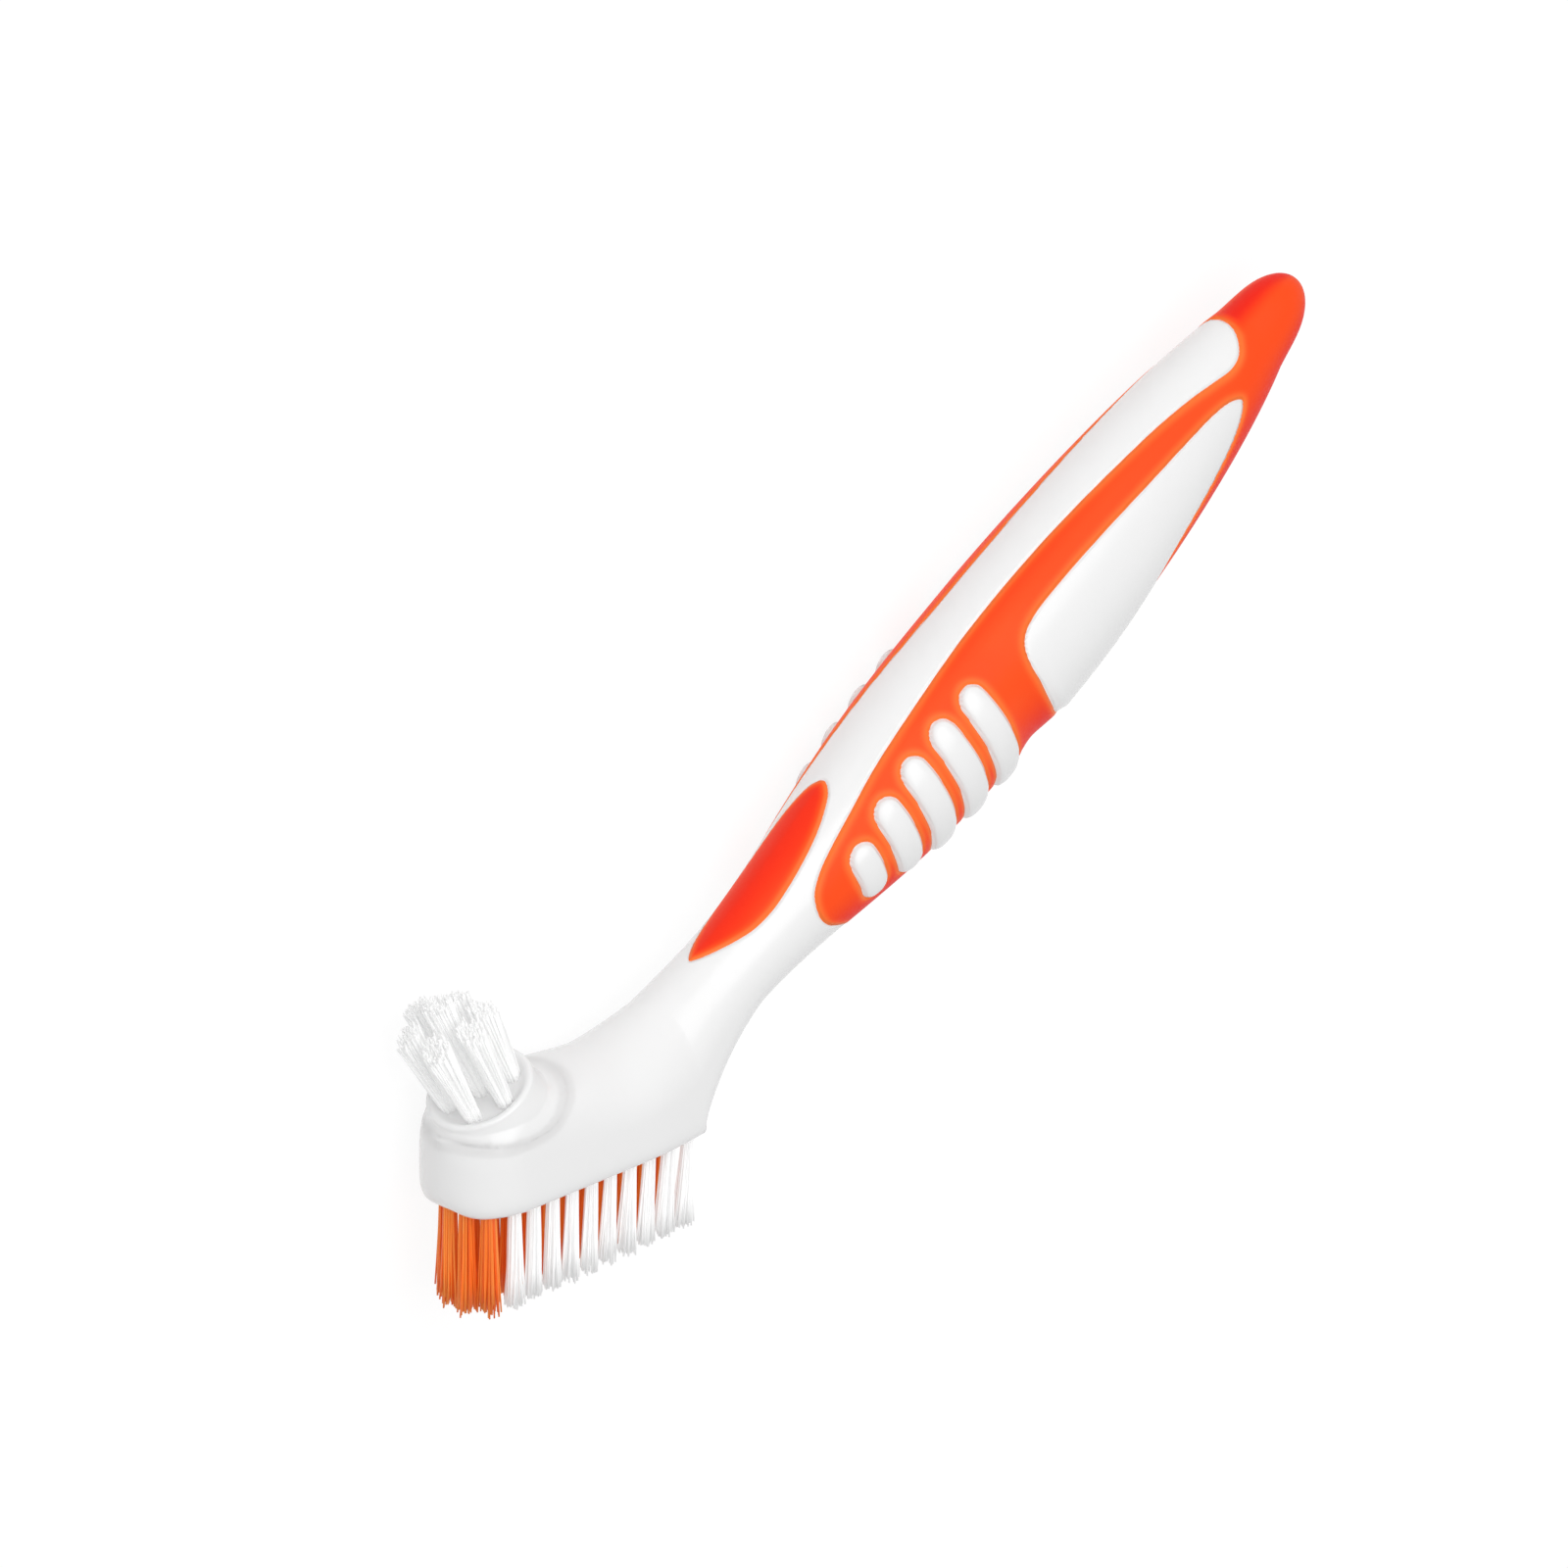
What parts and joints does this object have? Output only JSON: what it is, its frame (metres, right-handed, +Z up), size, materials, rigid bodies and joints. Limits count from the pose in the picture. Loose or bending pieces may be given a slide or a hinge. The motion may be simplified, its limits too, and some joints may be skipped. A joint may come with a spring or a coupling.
{
  "type": "denture brush",
  "caption": "Denture brush with a large flat bristle head, a small pointed brush on its back, and a white handle with an orange soft grip.",
  "frame": {"origin": "centre of the bounding box in plan, at the lowest point, with the brush lying on its side", "axes": "+X along the bristle face from the front of the head towards the handle, +Y away from the large bristles, +Z up, the side of the brush that the picture shows"},
  "size_m": [0.1402, 0.0874, 0.0185],
  "materials": {
    "core": "glossy white moulded polypropylene",
    "soft": "satin orange soft-touch elastomer moulded over the core",
    "white_filament": "white nylon filaments in bundles",
    "orange_filament": "orange nylon filaments in bundles",
    "anchor": "plain metal strip"
  },
  "bodies": {
    "root": {"handle_core": "core", "grip_overmould": "soft", "thumb_pad": "soft", "brush_anchors": "anchor", "tip_anchors": "anchor", "side_tuft_left_01": "white_filament", "side_tuft_left_02": "white_filament", "side_tuft_left_03": "white_filament", "side_tuft_left_04": "white_filament", "side_tuft_left_05": "white_filament", "side_tuft_left_06": "white_filament", "side_tuft_left_07": "white_filament", "side_tuft_left_08": "white_filament", "side_tuft_left_09": "white_filament", "side_tuft_left_10": "white_filament", "side_tuft_right_01": "white_filament", "side_tuft_right_02": "white_filament", "side_tuft_right_03": "white_filament", "side_tuft_right_04": "white_filament", "side_tuft_right_05": "white_filament", "side_tuft_right_06": "white_filament", "side_tuft_right_07": "white_filament", "side_tuft_right_08": "white_filament", "side_tuft_right_09": "white_filament", "side_tuft_right_10": "white_filament", "inner_tuft_left_01": "orange_filament", "inner_tuft_left_02": "orange_filament", "inner_tuft_left_03": "orange_filament", "inner_tuft_left_04": "orange_filament", "inner_tuft_left_05": "orange_filament", "inner_tuft_left_06": "orange_filament", "inner_tuft_left_07": "orange_filament", "inner_tuft_left_08": "orange_filament", "inner_tuft_left_09": "orange_filament", "inner_tuft_left_10": "orange_filament", "inner_tuft_right_01": "orange_filament", "inner_tuft_right_02": "orange_filament", "inner_tuft_right_03": "orange_filament", "inner_tuft_right_04": "orange_filament", "inner_tuft_right_05": "orange_filament", "inner_tuft_right_06": "orange_filament", "inner_tuft_right_07": "orange_filament", "inner_tuft_right_08": "orange_filament", "inner_tuft_right_09": "orange_filament", "inner_tuft_right_10": "orange_filament", "front_tuft_01": "orange_filament", "front_tuft_02": "orange_filament", "front_tuft_03": "orange_filament", "front_tuft_04": "orange_filament", "tip_tuft_01": "white_filament", "tip_tuft_02": "white_filament", "tip_tuft_03": "white_filament", "tip_tuft_04": "white_filament", "tip_tuft_05": "white_filament", "tip_tuft_06": "white_filament", "tip_tuft_07": "white_filament"}
  },
  "joints": []
}
